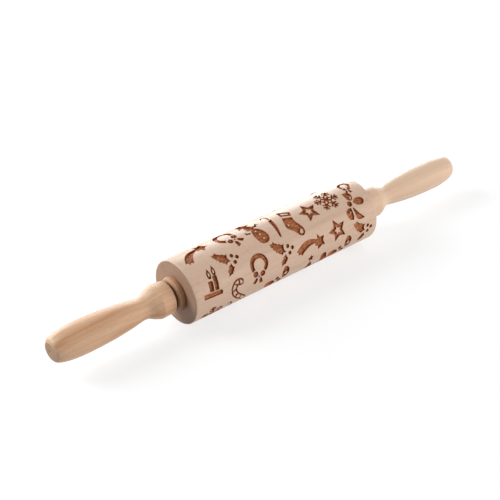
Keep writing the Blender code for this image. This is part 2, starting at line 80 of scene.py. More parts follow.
def newGroup(name, inputs, outputs):
    tree = bpy.data.node_groups.new(name, "ShaderNodeTree")
    for label, (kind, value) in inputs.items():
        socket = tree.interface.new_socket(name=label, in_out="INPUT", socket_type=kind)
        socket.default_value = value
    for label, kind in outputs.items():
        tree.interface.new_socket(name=label, in_out="OUTPUT", socket_type=kind)
    return tree, tree.nodes.new("NodeGroupInput").outputs, tree.nodes.new("NodeGroupOutput")


def calculate(tree, operation, *values):
    return newNode(tree, "ShaderNodeMath", dict(enumerate(values)), operation=operation).outputs[0]


def vectorStep(tree, operation, *values):
    node = newNode(tree, "ShaderNodeVectorMath", dict(enumerate(values)), operation=operation)
    return node.outputs["Value" if operation == "LENGTH" else "Vector"]


def noise(tree, vector, stretch, detail, output="Fac"):
    stretched = vectorStep(tree, "MULTIPLY", vector, stretch)
    values = {"Vector": stretched, "Scale": 1.0, "Detail": detail}
    return newNode(tree, "ShaderNodeTexNoise", values).outputs[output]


def ramp(tree, value, low, high):
    values = {"Value": value, "From Min": low, "From Max": high}
    return newNode(tree, "ShaderNodeMapRange", values, interpolation_type="SMOOTHSTEP").outputs["Result"]


def mixed(tree, factor, first, second, blend="MIX"):
    values = {0: factor, 6: first, 7: second}
    return newNode(tree, "ShaderNodeMix", values, data_type="RGBA", blend_type=blend).outputs[2]


beech = {
    # repeats in a metre, along the piece and across it
    "drift": (7, 45, 45),
    "unevenness": (4, 160, 160),
    "streaks": (6, 95, 95),
    "fibres": (18, 1100, 1100),
    "rays": (420, 3000, 3000),
    # between these values of their noise they fade in
    "streakLimits": (0.50, 0.72),
    "rayLimits": (0.62, 0.72),
    "fibreMiddle": 0.45,
    # how far the grain wanders, in metres, and how little the rings change along the piece
    "driftReach": (0, 0.009, 0.009),
    "ringStretch": (0.03, 1, 1),
    "unevenShare": 1.6,
    "lateWoodSharpness": 3.0,
    "rayHeight": -0.6,
    "roughness": 0.42,
    "fibreRoughness": 0.22,
}


# Beech in three dimensions: growth rings round a pith beside the piece, fibres, streaks and rays.
# Along the piece they show as lines, and on its ends as arcs and dots.
def makeBeechGrain():
    tree, given, out = newGroup(
        "beechGrain",
        {
            "Pale Wood": ("NodeSocketColor", (0.70, 0.53, 0.40, 1)),
            "Late Wood": ("NodeSocketColor", (0.50, 0.33, 0.22, 1)),
            "Streak": ("NodeSocketColor", (0.52, 0.28, 0.14, 1)),
            "Pith": ("NodeSocketVector", (0.0, 0.03, -0.05)),
            "Ring Spacing": ("NodeSocketFloat", 0.0026),
            "Ring Strength": ("NodeSocketFloat", 0.35),
            "Fibre Strength": ("NodeSocketFloat", 0.35),
            "Streak Strength": ("NodeSocketFloat", 0.3),
            "Ray Strength": ("NodeSocketFloat", 0.3),
        },
        {"Color": "NodeSocketColor", "Roughness": "NodeSocketFloat", "Height": "NodeSocketFloat"},
    )
    place = newNode(tree, "ShaderNodeTexCoord").outputs["Object"]
    drift = noise(tree, place, beech["drift"], 1.0, "Color")
    drift = vectorStep(tree, "SUBTRACT", drift, (0.5, 0.5, 0.5))
    drift = vectorStep(tree, "MULTIPLY", drift, beech["driftReach"])
    wandering = vectorStep(tree, "ADD", place, drift)
    fromPith = vectorStep(tree, "SUBTRACT", wandering, given["Pith"])
    fromPith = vectorStep(tree, "MULTIPLY", fromPith, beech["ringStretch"])
    rings = calculate(tree, "DIVIDE", vectorStep(tree, "LENGTH", fromPith), given["Ring Spacing"])
    uneven = noise(tree, wandering, beech["unevenness"], 1.0)
    rings = calculate(tree, "MULTIPLY_ADD", uneven, beech["unevenShare"], rings)
    rings = calculate(tree, "FRACT", rings)
    lateWood = calculate(tree, "POWER", rings, beech["lateWoodSharpness"])

    fibres = noise(tree, place, beech["fibres"], 3.0)
    streaks = ramp(tree, noise(tree, wandering, beech["streaks"], 2.0), *beech["streakLimits"])
    rays = ramp(tree, noise(tree, place, beech["rays"], 1.0), *beech["rayLimits"])

    fibreShade = calculate(tree, "SUBTRACT", fibres, beech["fibreMiddle"])
    fibreShade = calculate(tree, "MULTIPLY", fibreShade, given["Fibre Strength"])
    shade = calculate(tree, "MULTIPLY_ADD", lateWood, given["Ring Strength"], fibreShade)
    color = mixed(tree, shade, given["Pale Wood"], given["Late Wood"])
    streakShare = calculate(tree, "MULTIPLY", streaks, given["Streak Strength"])
    color = mixed(tree, streakShare, color, given["Streak"])
    rayShare = calculate(tree, "MULTIPLY", rays, given["Ray Strength"])
    color = mixed(tree, rayShare, color, given["Streak"], "MULTIPLY")
    roughness = calculate(tree, "MULTIPLY_ADD", fibres, beech["fibreRoughness"], beech["roughness"])
    height = calculate(tree, "MULTIPLY_ADD", rays, beech["rayHeight"], fibres)
    for name, socket in {"Color": color, "Roughness": roughness, "Height": height}.items():
        tree.links.new(socket, out.inputs[name])
    return tree


# Fine rings that a lathe and sandpaper leave round a turned piece
def makeLatheMarks():
    tree, given, out = newGroup(
        "latheMarks",
        {"Axis Height": ("NodeSocketFloat", axisHeight), "Fineness": ("NodeSocketFloat", 1500.0)},
        {"Height": "NodeSocketFloat"},
    )
    place = newNode(tree, "ShaderNodeTexCoord").outputs["Object"]
    parts = newNode(tree, "ShaderNodeSeparateXYZ", {0: place}).outputs
    up = calculate(tree, "SUBTRACT", parts["Z"], given["Axis Height"])
    across = newNode(tree, "ShaderNodeCombineXYZ", {"Y": parts["Y"], "Z": up}).outputs[0]
    radius = vectorStep(tree, "LENGTH", across)
    lengthwise = newNode(tree, "ShaderNodeCombineXYZ", {"X": parts["X"], "Y": radius}).outputs[0]
    values = {"Vector": lengthwise, "Scale": given["Fineness"], "Detail": 2.0}
    marks = newNode(tree, "ShaderNodeTexNoise", values).outputs["Fac"]
    tree.links.new(marks, out.inputs["Height"])
    return tree


burn = {
    "patches": (480, 1050, 1050),
    "patchLimits": (0.36, 0.66),
}


# Darker patches where the burning went deeper
def makeBurnPatches():
    tree, given, out = newGroup(
        "burnPatches",
        {
            "Color": ("NodeSocketColor", (0.5, 0.2, 0.1, 1)),
            "Burnt Tint": ("NodeSocketColor", (0.36, 0.26, 0.22, 1)),
            "Strength": ("NodeSocketFloat", 0.8),
        },
        {"Color": "NodeSocketColor"},
    )
    place = newNode(tree, "ShaderNodeTexCoord").outputs["Object"]
    patches = ramp(tree, noise(tree, place, burn["patches"], 3.0), *burn["patchLimits"])
    share = calculate(tree, "MULTIPLY", patches, given["Strength"])
    color = mixed(tree, share, given["Color"], given["Burnt Tint"], "MULTIPLY")
    tree.links.new(color, out.inputs["Color"])
    return tree


beechGrain = makeBeechGrain()
latheMarks = makeLatheMarks()
burnPatches = makeBurnPatches()


# What a wood gets unless its own call says otherwise; the relief is in metres
usualFinish = {
    "bumpStrength": 0.6,
    "coatRoughness": 0.4,
    "latheMarks": 0.35,
    "relief": 0.00006,
    "gloss": 0.5,
    "burnt": 0.0,
    "polish": 0.0,
}


def woodMaterial(name, look, **changes):
    chosen = {**usualFinish, **changes}
    material = bpy.data.materials.new(name)
    material.use_nodes = True
    tree = material.node_tree
    shader = tree.nodes["Principled BSDF"]
    grain = newNode(tree, "ShaderNodeGroup", look, node_tree=beechGrain).outputs
    marks = newNode(tree, "ShaderNodeGroup", node_tree=latheMarks).outputs["Height"]
    height = calculate(tree, "MULTIPLY_ADD", marks, chosen["latheMarks"], grain["Height"])
    values = {"Height": height, "Strength": chosen["bumpStrength"], "Distance": chosen["relief"]}
    bump = newNode(tree, "ShaderNodeBump", values)
    color = grain["Color"]
    if chosen["burnt"]:
        values = {"Color": color, "Strength": chosen["burnt"]}
        color = newNode(tree, "ShaderNodeGroup", values, node_tree=burnPatches).outputs["Color"]
    tree.links.new(color, shader.inputs["Base Color"])
    tree.links.new(grain["Roughness"], shader.inputs["Roughness"])
    tree.links.new(bump.outputs["Normal"], shader.inputs["Normal"])
    shader.inputs["Specular IOR Level"].default_value = chosen["gloss"]
    shader.inputs["Coat Weight"].default_value = chosen["polish"]
    shader.inputs["Coat Roughness"].default_value = chosen["coatRoughness"]
    return material


# Turned pieces

turning = {
    "roundingSegments": 5,
    "weldWithin": 0.001 * mm,
    "sharpFrom": 32,  # degrees between two faces
}


# Half a section of a turned piece. Each corner is its place along the axle, its radius and its rounding.
def profileWire(corners, closed=False):
    bm = bmesh.new()
    verts = [bm.verts.new((x, 0, axisHeight + radius)) for x, radius, *_ in corners]
    pairs = list(zip(verts, verts[1:]))
    if closed:
        pairs.append((verts[-1], verts[0]))
    for pair in pairs:
        bm.edges.new(pair)
    for vert, (_, _, *rounding) in zip(verts, corners):
        if rounding:
            bmesh.ops.bevel(
                bm, geom=[vert], offset=rounding[0], segments=turning["roundingSegments"], profile=0.5,
                affect="VERTICES", material=-1,
            )
    return bm


def spinRound(bm, steps):
    bmesh.ops.spin(
        bm, geom=bm.verts[:] + bm.edges[:], cent=(0, 0, axisHeight), axis=(1, 0, 0),
        angle=2 * math.pi, steps=steps, use_merge=True,
    )
    bmesh.ops.remove_doubles(bm, verts=bm.verts[:], dist=turning["weldWithin"])


def addPiece(name, bm, materials, body, node):
    bmesh.ops.recalc_face_normals(bm, faces=bm.faces[:])
    mesh = bpy.data.meshes.new(name)
    bm.to_mesh(mesh)
    bm.free()
    for material in materials:
        mesh.materials.append(material)
    mesh.shade_smooth()
    mesh.set_sharp_from_angle(angle=math.radians(turning["sharpFrom"]))
    piece = bpy.data.objects.new(name, mesh)
    bpy.context.scene.collection.objects.link(piece)
    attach(piece, body)
    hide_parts(node)
    print(name, "made:", len(mesh.polygons), "faces")


# A smooth open curve through the points
def throughPoints(points, steps):
    stops = [Vector(point) for point in points]
    slopes = []
    for i in range(len(stops)):
        slopes.append((stops[min(i + 1, len(stops) - 1)] - stops[max(i - 1, 0)]).normalized())
    curve = []
    for i in range(len(stops) - 1):
        start, end = stops[i], stops[i + 1]
        third = (end - start).length / 3
        curve += interpolate_bezier(
            start, start + slopes[i] * third, end - slopes[i + 1] * third, end, steps + 1
        )[:-1]
    return [Vector(point[:2]) for point in curve] + [stops[-1]]


# Lengths in mm
handle = {
    # distance from the tip, and radius
    "grip": [
        (0.4, 6.6), (1.3, 7.8), (3, 8.7), (6, 9.6), (10, 10.3), (16, 10.85), (23, 11.0), (30, 10.92),
        (38, 10.6), (46, 10.1), (54, 9.3), (60, 8.5), (64.5, 7.8), (67.5, 7.55), (70, 7.9), (72.5, 9.0),
        (74.8, 10.2),
    ],
    "gripSteps": 5,
    "tipFace": 5.75,
    "tipRound": 0.15,
    "endGrainMargin": 0.1,
    "centreMark": 1.1,
    "centreDepth": 0.7,
    # its flank, as shares of depth and radius, and the rounding there
    "centreFlank": (0.7, 0.45, 0.2),
    "shoulder": (78.5, 11.6),
    "collarBack": (88.0, 11.3),
    "shoulderRound": 0.3,
    "collarRound": 0.8,
    "socketDepth": 40,
    "socketRadius": 5.3,
    "steps": 96,
}


def makeHandle(name, side, node, materials):
    low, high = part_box(node)
    tip = low.x if side < 0 else high.x
    flankDepth, flankRadius, flankRound = handle["centreFlank"]
    back = handle["collarBack"][0]
    corners = [
        (handle["centreDepth"], 0),
        (handle["centreDepth"] * flankDepth, handle["centreMark"] * flankRadius, flankRound),
        (0, handle["centreMark"], handle["tipRound"]),
        (0, handle["tipFace"], handle["tipRound"]),
    ]
    corners += [tuple(point) for point in throughPoints(handle["grip"], handle["gripSteps"])]
    corners += [
        (*handle["shoulder"], handle["shoulderRound"]),
        (*handle["collarBack"], handle["collarRound"]),
        (back, handle["socketRadius"]),
        (back - handle["socketDepth"], handle["socketRadius"]),
        (back - handle["socketDepth"], 0),
    ]
    placed = [
        (tip - side * along * mm, radius * mm, *[value * mm for value in rounding])
        for along, radius, *rounding in corners
    ]
    bm = profileWire(placed)
    spinRound(bm, handle["steps"])
    for face in bm.faces:
        middle = face.calc_center_median()
        reach = math.hypot(middle.y, middle.z - axisHeight) / mm
        nearTip = abs(tip - middle.x) / mm < handle["centreDepth"]
        face.material_index = int(nearTip and reach < handle["tipFace"] + handle["endGrainMargin"])
    addPiece(name, bm, materials, "handles", node)


# Lengths in mm
bushing = {
    "flangeRadius": 11.8,
    "flangeBackRound": 0.9,
    "flangeRound": 2.5,
    "faceShare": 0.6,  # of that last rounding, has the flange face's paler finish, a painted highlight
    "paintedShadeRadius": 9.6,  # faces within it are painted dark: painted shade where the handle's collar shades the gap
    "paintedShadeMargin": 0.4,
    "spigotRadius": 9.0,
    "spigotRound": 0.5,
    "boreRadius": 5.4,
    "boreRound": 0.35,
    "gap": 0.3,
    "flangeWidth": 4.5,
    "spigotLength": 14.0,
    "steps": 96,
}


def makeBushing(name, side, node, materials):
    barrelEnd = barrelHigh.x / mm
    spigotEnd = barrelEnd - bushing["spigotLength"]
    flangeBack = barrelEnd + bushing["gap"]
    flangeFace = flangeBack + bushing["flangeWidth"]
    corners = [
        (spigotEnd, bushing["boreRadius"]),
        (spigotEnd, bushing["spigotRadius"], bushing["spigotRound"]),
        (flangeBack, bushing["spigotRadius"]),
        (flangeBack, bushing["flangeRadius"], bushing["flangeBackRound"]),
        (flangeFace, bushing["flangeRadius"], bushing["flangeRound"]),
        (flangeFace, bushing["paintedShadeRadius"] - bushing["paintedShadeMargin"]),
        (flangeFace, bushing["boreRadius"], bushing["boreRound"]),
    ]
    placed = [
        (side * along * mm, radius * mm, *[value * mm for value in rounding])
        for along, radius, *rounding in corners
    ]
    bm = profileWire(placed, closed=True)
    spinRound(bm, bushing["steps"])
    for face in bm.faces:
        middle = face.calc_center_median()
        outwards = middle.x * side / mm - flangeBack
        reach = math.hypot(middle.y, middle.z - axisHeight) / mm
        onFace = outwards > bushing["flangeWidth"] - bushing["flangeRound"] * bushing["faceShare"]
        face.material_index = int(onFace) + int(onFace and reach < bushing["paintedShadeRadius"])
    addPiece(name, bm, materials, "barrel", node)


# Outlines of the engraving, in mm from the middle of each ornament. A cut is an outline and the
# outlines of the islands in it. A point with a third value is a sharp corner of a flowing outline.

def flowing(points, steps=5):
    spots = [Vector(point[:2]) for point in points]
    loop = []
    for i, here in enumerate(spots):
        following = (i + 1) % len(spots)
        after = spots[following]
        isSharp, nextIsSharp = len(points[i]) > 2, len(points[following]) > 2
        if isSharp and nextIsSharp:
            loop.append(here)
            continue
        third = (after - here).length / 3
        leaving = (after - (here if isSharp else spots[i - 1])).normalized() * third
        beyond = after if nextIsSharp else spots[(i + 2) % len(spots)]
        arriving = (beyond - here).normalized() * third
        loop += interpolate_bezier(here, here + leaving, after - arriving, after, steps + 1)[:-1]
    return [Vector(point[:2]) for point in loop]


# An outline of straight sides
def sharp(points):
    return [Vector(point) for point in points]


def dot(x, y, radius, count=20):
    turn = 2 * math.pi / count
    return [
        Vector((x + radius * math.cos(i * turn), y + radius * math.sin(i * turn)))
        for i in range(count)
    ]


def starShape(radius, notch, y=0):
    tips = 5
    loop = []
    for i in range(2 * tips):
        reach = radius if i % 2 == 0 else radius * notch
        angle = math.pi / 2 + math.pi * i / tips
        loop.append(Vector((reach * math.cos(angle), y + reach * math.sin(angle))))
    return loop


# Shares of half a stroke's width: how far its ends run out, and how near its path a point may lie
stroke = {
    "endReach": 0.8,
    "nearest": 0.99,
}


# A stroke with pointed ends, without the points that would fold over in a tight bend
def line(path, width, endWidth=None, steps=4):
    spots = throughPoints(path, steps)
    last = len(spots) - 1
    endWidth = width if endWidth is None else endWidth
    left, right = [], []
    for i, here in enumerate(spots):
        way = (spots[min(i + 1, last)] - spots[max(i - 1, 0)]).normalized()
        half = (width + (endWidth - width) * i / last) / 2
        for side, sign in ((left, 1), (right, -1)):
            point = here + Vector((-way.y, way.x)) * half * sign
            if min((point - spot).length for spot in spots) > half * stroke["nearest"]:
                side.append(point)
        if i == 0:
            start = here - way * half * stroke["endReach"]
    return [start] + left + [here + way * half * stroke["endReach"]] + right[::-1]


scallop = {
    "pull": 1.3,
    "lead": 0.25,  # share of a side, from each corner to where the curve is pulled in
    "steps": 6,
}


# A leaf's outline: sharp corners, and between them sides that curve inwards
def scalloped(corners, hollow):
    spots = sharp(corners)
    loop = []
    for i, here in enumerate(spots):
        after = spots[(i + 1) % len(spots)]
        side = after - here
        lead = side * scallop["lead"]
        inwards = Vector((side.y, -side.x)) * hollow * scallop["pull"]
        loop += interpolate_bezier(
            here, here + lead + inwards, after - lead + inwards, after, scallop["steps"]
        )[:-1]
    return [Vector(point[:2]) for point in loop]


def turnedAbout(loop, degrees):
    turn = Matrix.Rotation(math.radians(degrees), 2)
    return [turn @ point for point in loop]


def shooting():
    outline = [
        (-1.1, 5.0, 1), (0.6, 2.7, 1), (4.1, 2.7, 1), (2.7, -0.3, 1), (3.9, -3.8, 1), (1.4, -3.2, 1),
        (-1.9, -5.3, 1), (-2.6, -2.4, 1), (-4.8, -1.3, 1), (-3.8, 0.2, 1), (-9.0, -0.1), (-13.2, -1.9),
        (-16.9, -4.6, 1), (-17.5, -2.8, 1), (-19.6, -3.2, 1), (-19.2, -1.5, 1), (-20.7, -0.5, 1),
        (-17.6, 1.8), (-14.0, 3.5), (-10.6, 4.1), (-7.2, 3.9), (-2.1, 2.0, 1),
    ]
    return [[flowing(outline)]]


def candles():
    base = [(-7.3, -1.3), (-6.9, -1.7, 1), (7.0, -1.3, 1), (7.4, 0.2), (6.9, 1.6, 1), (-7.2, 1.5, 1)]
    left = [(-2.5, 2.4, 1), (0.7, 2.4, 1), (0.8, 8.7, 1), (-0.5, 9.3), (-1.6, 8.9), (-2.6, 9.3, 1)]
    right = [(1.7, 2.4, 1), (4.7, 2.4, 1), (4.8, 11.4, 1), (3.7, 12.2), (2.7, 11.8), (1.7, 12.2, 1)]
    flame = [(0.2, 3.8, 1), (1.4, 0.2), (1.0, -2.2), (0.0, -3.0), (-1.0, -2.2), (-1.4, 0.2)]
    cuts = [[flowing(base)], [flowing(left)], [flowing(right)]]
    innerWidth, innerHeight, lowered = 0.4, 0.45, 0.1
    for x, y in ((-0.4, 13.6), (3.7, 14.9)):
        outer = [(x + u, y + v, *corner) for u, v, *corner in flame]
        inner = [
            (x + u * innerWidth, y - lowered + v * innerHeight, *corner) for u, v, *corner in flame
        ]
        cuts.append([flowing(outer), flowing(inner)])
    return cuts


def holly():
    big = [
        (-10.3, 9.3), (-5.9, 9.7), (-4.4, 7.6), (-2.3, 6.6), (1.2, 5.5), (1.1, -0.4), (-2.9, -1.6),
        (-4.7, 0.2), (-6.8, 1.9), (-8.3, 4.2), (-9.4, 6.7),
    ]
    small = [(0.3, -1.3), (1.5, -4.9), (0.3, -6.6), (-1.2, -8.2), (-4.6, -9.4), (-4.5, -5.7), (-2.1, -3.0)]
    berries = [[dot(x, y, 1.25)] for x, y in ((3.4, 2.9), (6.6, 0.8), (3.6, -1.9))]
    return [[scalloped(big, 0.25)], [scalloped(small, 0.14)]] + berries


def wreath(size=1.0):
    radius, thickest, thinning = 7.2, 3.1, 0.6
    start, sweep, steps = -42, 264, 36
    outerArc, innerArc = [], []
    for i in range(steps + 1):
        angle = math.radians(start + sweep * i / steps)
        inner = radius - (thickest - thinning * abs(2 * i / steps - 1) ** 2)
        outerArc.append(Vector((radius * math.cos(angle), radius * math.sin(angle))))
        innerArc.append(Vector((inner * math.cos(angle), inner * math.sin(angle))))
    cuts = [[outerArc + innerArc[::-1]]]
    for side in (-1, 1):
        cuts.append([dot(side * 2.9, -6.5, 2.0), dot(side * 2.7, -6.2, 0.3, 10)])
        cuts.append([flowing([
            (side * 1.5, -8.9, 1), (side * 0.7, -10.7), (side * 1.8, -13.6, 1), (side * 4.2, -13.1, 1),
            (side * 3.0, -10.4),
        ])])
    cuts.append([dot(0, -8.3, 0.6, 12)])
    return [[[point * size for point in loop] for loop in cut] for cut in cuts]


def smallWreath():
    return wreath(0.61)


def snowman():
    body = [
        (0.0, -7.5), (3.6, -6.0), (4.7, -2.0), (3.9, 2.5), (1.6, 6.2), (0.0, 7.0), (-1.6, 6.2),
        (-3.9, 2.5), (-4.7, -2.0), (-3.6, -6.0),
    ]
    buttons = [dot(0, y, 0.62, 14) for y in (3.6, -0.2, -4.0)]
    hat = [
        (-6.4, 12.2, 1), (-1.6, 12.5), (3.1, 13.3, 1), (2.8, 14.9, 1), (0.9, 14.8, 1), (0.3, 18.6, 1),
        (-2.2, 19.0), (-4.9, 18.1, 1), (-4.7, 14.0, 1), (-6.4, 13.7, 1),
    ]
    scarf = line([(-3.4, 7.9), (-0.4, 7.0), (2.4, 8.1), (4.4, 7.2)], 1.5)
    arms = [
        [line([(-4.5, 4.6), (-7.6, 5.6)], 1.2, 0.8)],
        [line([(3.8, 7.2), (6.4, 9.8)], 1.2, 0.8)],
        [line([(-6.2, 5.6), (-6.9, 7.2)], 0.8, 0.6)],
        [line([(5.2, 8.2), (7.3, 8.3)], 0.8, 0.6)],
    ]
    return [[flowing(body)] + buttons, [dot(-0.9, 10.0, 2.9)], [flowing(hat)], [scarf]] + arms


def umbrella():
    cover = [(-1.5, 0.0, 1), (1.3, 0.5, 1), (0.3, -7.0), (-1.5, -14.7), (-2.1, -15.6), (-2.7, -14.1)]
    hook = line([(0.1, 1.2), (0.4, 4.0), (-0.3, 6.5), (-2.0, 7.2), (-3.3, 5.6)], 1.05, 0.8)
    return [[flowing(cover)], [hook]]


def stocking():
    leg = [
        (-3.4, 6.1, 1), (3.3, 3.2, 1), (2.9, -0.4), (4.2, -4.0), (5.6, -7.2), (5.5, -9.8), (4.1, -11.5),
        (2.2, -11.7), (0.4, -10.6), (-2.3, -6.6), (-4.6, -4.6), (-5.9, -2.4), (-5.4, 0.2),
    ]
    toe = [(1.6, -9.5), (2.4, -8.2), (3.7, -7.5), (4.3, -8.1), (4.3, -9.4), (3.5, -10.4), (2.4, -10.5)]
    cuff = sharp([(-2.3, 13.6), (5.4, 8.4), (4.1, 4.7), (-3.0, 7.8)])
    hollow = sharp([(-0.9, 10.8), (3.6, 7.7), (3.2, 6.7), (-1.3, 8.9)])
    heel = [(-3.9, -1.2), (-3.3, -0.7), (-3.0, -1.7), (-3.6, -2.3)]
    return [[flowing(leg), flowing(toe), flowing(heel)], [cuff, hollow]]


def star():
    return [[starShape(8.1, 0.49), starShape(2.95, 0.5)]]


def snowflake():
    # one of its six arms
    strokes = [
        ([(5.0, 0), (9.2, 0)], 1.2),
        ([(0.7, 0), (3.2, 1.5)], 0.85), ([(0.7, 0), (3.2, -1.5)], 0.85),
        ([(3.2, 1.5), (5.2, 0)], 0.85), ([(3.2, -1.5), (5.2, 0)], 0.85),
        ([(5.0, 0), (6.5, 2.6)], 1.1), ([(5.0, 0), (6.5, -2.6)], 1.1),
        ([(7.0, 0), (8.5, 2.0)], 1.05), ([(7.0, 0), (8.5, -2.0)], 1.05),
    ]
    arms = 6
    cuts = [[dot(0, 0, 0.9, 12)]]
    for i in range(arms):
        turn = 360 / arms * i
        cuts += [[turnedAbout(line(path, width, steps=1), turn)] for path, width in strokes]
    return cuts


def bow():
    upper = [
        (0.0, 9.2, 1), (2.4, 9.1), (4.6, 8.2), (5.7, 5.6), (4.6, 3.0), (2.6, 1.7, 1), (0.6, 3.6),
        (0.1, 6.2),
    ]
    upperHollow = [(2.6, 3.4), (3.4, 4.1), (3.8, 5.2), (4.3, 4.5), (3.8, 3.4), (3.0, 2.8)]
    lower = [
        (-0.8, -2.9, 1), (-0.7, -6.0), (-0.8, -8.8), (-1.8, -11.2, 1), (-4.4, -10.3), (-5.9, -7.6),
        (-5.7, -4.4), (-3.6, -2.9),
    ]
    right = [
        (3.4, 0.3, 1), (5.6, 2.0), (8.6, 2.3), (11.6, 0.9), (12.3, -1.4), (10.6, -3.3), (6.8, -3.0),
        (4.6, -1.6),
    ]
    tail = [
        (0.9, -2.7, 1), (2.4, -5.2), (4.2, -8.4), (8.0, -12.7, 1), (4.6, -12.7), (1.9, -11.9),
        (0.8, -8.4),
    ]
    return [
        [dot(0, 0, 1.9)],
        [flowing(upper), flowing(upperHollow)],
        [flowing(lower), dot(-2.6, -5.6, 0.55, 12)],
        [flowing(right)],
        [flowing(tail)],
    ]


# The bows near the bottom: a longer loop and a short end
def shortBow():
    loop = [
        (-2.6, -1.4, 1), (-2.1, -5.6), (-2.5, -8.8), (-3.6, -11.4, 1), (-6.2, -10.3), (-7.8, -7.2),
        (-7.4, -3.4), (-5.2, -1.2),
    ]
    left = [
        (3.4, 0.6, 1), (5.6, 2.4), (8.6, 2.7), (11.6, 1.1), (12.3, -1.6), (10.6, -3.7), (6.8, -3.4),
        (4.4, -1.7),
    ]
    return [
        [dot(-0.4, 0.3, 1.9)],
        [dot(2.2, -3.1, 1.5)],
        [flowing(loop), dot(-5.2, -5.0, 1.25, 14)],
        [flowing(left)],
    ]


def candyCane():
    outerWidth, innerWidth, ringWidth = 4.5, 2.3, 0.95
    ringReach, ringLean, ringEvery = 1.5, 0.4, 6
    path = [
        (6.2, 3.7), (4.8, 4.9), (2.9, 4.9), (0.9, 3.5), (-0.3, 0.6), (0.5, -2.7), (2.6, -5.6), (5.2, -8.0),
        (7.4, -10.0), (9.4, -12.0),
    ]
    cuts = [[line(path, outerWidth), line(path, innerWidth)]]
    spots = throughPoints(path, 4)
    for i in range(5, len(spots) - 2, ringEvery):
        way = (spots[i + 1] - spots[i - 1]).normalized()
        across = Vector((-way.y, way.x)) * ringReach
        ring = [spots[i] - across + way * ringLean, spots[i] + across - way * ringLean]
        cuts.append([line(ring, ringWidth, steps=1)])
    cuts.append([dot(1.4, -4.2, 0.5, 10)])
    return cuts


def tree():
    side = [(2.1, 2.4), (1.2, 2.4), (3.4, -1.0), (2.0, -1.0), (4.6, -4.8), (0.9, -4.8), (0.9, -6.5)]
    outline = [(0, 5.2)] + side + [(-x, y) for x, y in reversed(side)]
    return [[sharp(outline[::-1])], [starShape(2.9, 0.45, 8.8)]]


def bell():
    side = [(1.3, 5.2), (2.3, 3.6), (2.7, -0.4), (3.7, -2.6), (5.3, -3.9, 1)]
    outline = [(0, 5.6)] + side + [(-x, *rest) for x, *rest in reversed(side)]
    band = line([(-3.0, -2.4), (0.0, -2.7), (3.0, -2.4)], 0.3)
    clapper = dot(0, -5.4, 1.15)
    return [[flowing(outline), band], [clapper]]


barrel = {
    "sides": 144,
    "depth": 1.2 * mm,
    "rimRound": 1.0 * mm,
    "spigotRadius": 9.3 * mm,
    "spigotDepth": 14.3 * mm,
    "boreRadius": 6.75 * mm,
    "rimShare": 0.999,  # of the rounding, so that it ends just short of the rolled-up sheet's edge
    # in mm of the drawings
    "scorchWidth": 0.17,
    # the band of the floor next to the walls and round the islands takes the darker edge finish, painted
    # shade
    "edgeWidth": 0.2,
    "footShare": 0.7,
    # points nearer than this become one, on the flat sheet and rolled up
    "joinWithin": 0.002 * mm,
    "weldWithin": 0.003 * mm,
    # no ornament reaches further than this from its middle
    "longestReach": 0.03,
    # share of the length from the middle, share of the way round from the bottom, lean in degrees
    "ornaments": [
        (shooting, [(0.164, 0.295, 0), (-0.349, 0.540, 27), (0.303, 0.611, 0), (0.190, 1.035, -10)]),
        (candles, [(-0.411, 0.280, -5), (0.395, 0.755, 8)]),
        (holly, [(-0.290, 0.3915, 0), (-0.025, 0.3207, 0), (0.4206, 0.2373, 0), (-0.135, 0.790, 170)]),
        (wreath, [(-0.165, 0.320, -13), (-0.229, 0.535, 30), (0.130, 0.900, 160)]),
        (smallWreath, [(0.429, 0.512, -12)]),
        (snowman, [(-0.0925, 0.4516, 10), (-0.260, 0.870, -12)]),
        (umbrella, [(0.0, 0.5046, 0), (-0.440, 0.810, 12), (-0.311, 0.130, 0)]),
        (stocking, [(0.0719, 0.441, 0), (0.210, 0.780, 12)]),
        (star, [
            (0.181, 0.453, 9), (0.269, 0.3059, 12), (-0.250, 0.680, 20), (0.045, 0.775, -6),
            (0.290, 0.905, 14), (-0.405, 0.930, 0), (-0.125, 1.030, -14), (0.420, 1.075, 8),
        ]),
        (snowflake, [(0.297, 0.475, -6), (-0.407, 0.140, 35)]),
        (bow, [(0.380, 0.3985, 0)]),
        (shortBow, [(-0.058, 0.168, 180), (0.299, 0.171, 180)]),
        (candyCane, [(-0.306, 0.250, 0), (-0.065, 0.660, 20)]),
        (tree, [(0.1145, 0.159, 3), (-0.050, 0.900, -5), (0.430, 0.935, 6), (-0.266, 1.055, 4)]),
        (bell, [(0.194, 0.176, 12), (0.085, 0.629, 5), (-0.395, 0.690, 0)]),
    ],
}


# An outline moved outwards, with its sharp corners cut short
def grown(loop, distance):
    cornerLimit = 0.45
    result = []
    for i, here in enumerate(loop):
        before = (here - loop[i - 1]).normalized()
        after = (loop[(i + 1) % len(loop)] - here).normalized()
        outwards = Vector((before.y + after.y, -before.x - after.x))
        result.append(here + outwards * distance / max(1 + before.dot(after), cornerLimit))
    return result


def anticlockwise(loop):
    area = sum(loop[i - 1].cross(point) for i, point in enumerate(loop))
    return loop if area > 0 else loop[::-1]


# A face is filled from the side of its first edge, so that edge is a long one, away from any small fold
def fromLongestEdge(loop):
    last = max(range(len(loop)), key=lambda i: (loop[i] - loop[i - 1]).length)
    return loop[last - 1:] + loop[:last - 1]


